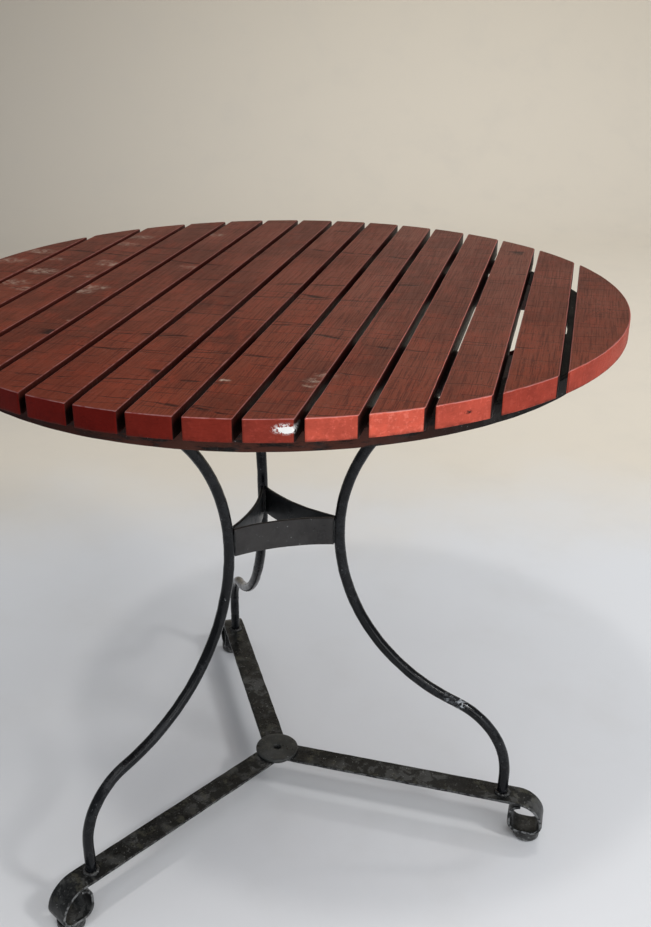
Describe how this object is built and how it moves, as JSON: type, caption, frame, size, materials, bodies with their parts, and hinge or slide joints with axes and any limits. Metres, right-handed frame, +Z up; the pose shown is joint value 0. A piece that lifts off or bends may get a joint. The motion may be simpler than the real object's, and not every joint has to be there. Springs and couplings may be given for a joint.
{
  "type": "bistro table",
  "caption": "Round bistro table with a slatted painted wooden top on an iron hoop, waisted curved rod legs and flat base arms ending in rolled scroll feet.",
  "frame": {"origin": "on the floor, straight under the middle of the round top", "axes": "+Z up; the slats run along Y, front to back; the right-hand leg and its base arm stand on the +X side"},
  "size_m": [0.8, 0.8, 0.735],
  "materials": {
    "painted_slats": "worn matt paint",
    "painted_battens": "matt dark paint",
    "black_iron": "satin, scuffed",
    "zinc_screws": "dull",
    "glide_plastic": "satin"
  },
  "bodies": {
    "root": {"slat_01": "painted_slats", "slat_02": "painted_slats", "slat_03": "painted_slats", "slat_04": "painted_slats", "slat_05": "painted_slats", "slat_06": "painted_slats", "slat_07": "painted_slats", "slat_08": "painted_slats", "slat_09": "painted_slats", "slat_10": "painted_slats", "slat_11": "painted_slats", "slat_12": "painted_slats", "slat_13": "painted_slats", "slat_14": "painted_slats", "slat_15": "painted_slats", "batten_front": "painted_battens", "batten_rear": "painted_battens", "top_hoop": "black_iron", "hoop_flange": "black_iron", "leg_right": "black_iron", "leg_rear": "black_iron", "leg_front": "black_iron", "base_arm_right": "black_iron", "base_arm_rear": "black_iron", "base_arm_front": "black_iron", "waist_bar_rear": "black_iron", "waist_bar_left": "black_iron", "waist_bar_front": "black_iron", "hub_disc_upper": "black_iron", "hub_disc_lower": "black_iron", "foot_welds": "black_iron", "hoop_screws": "zinc_screws", "batten_screws": "zinc_screws", "foot_pad_right": "glide_plastic", "foot_pad_rear": "glide_plastic", "foot_pad_front": "glide_plastic"}
  },
  "joints": []
}
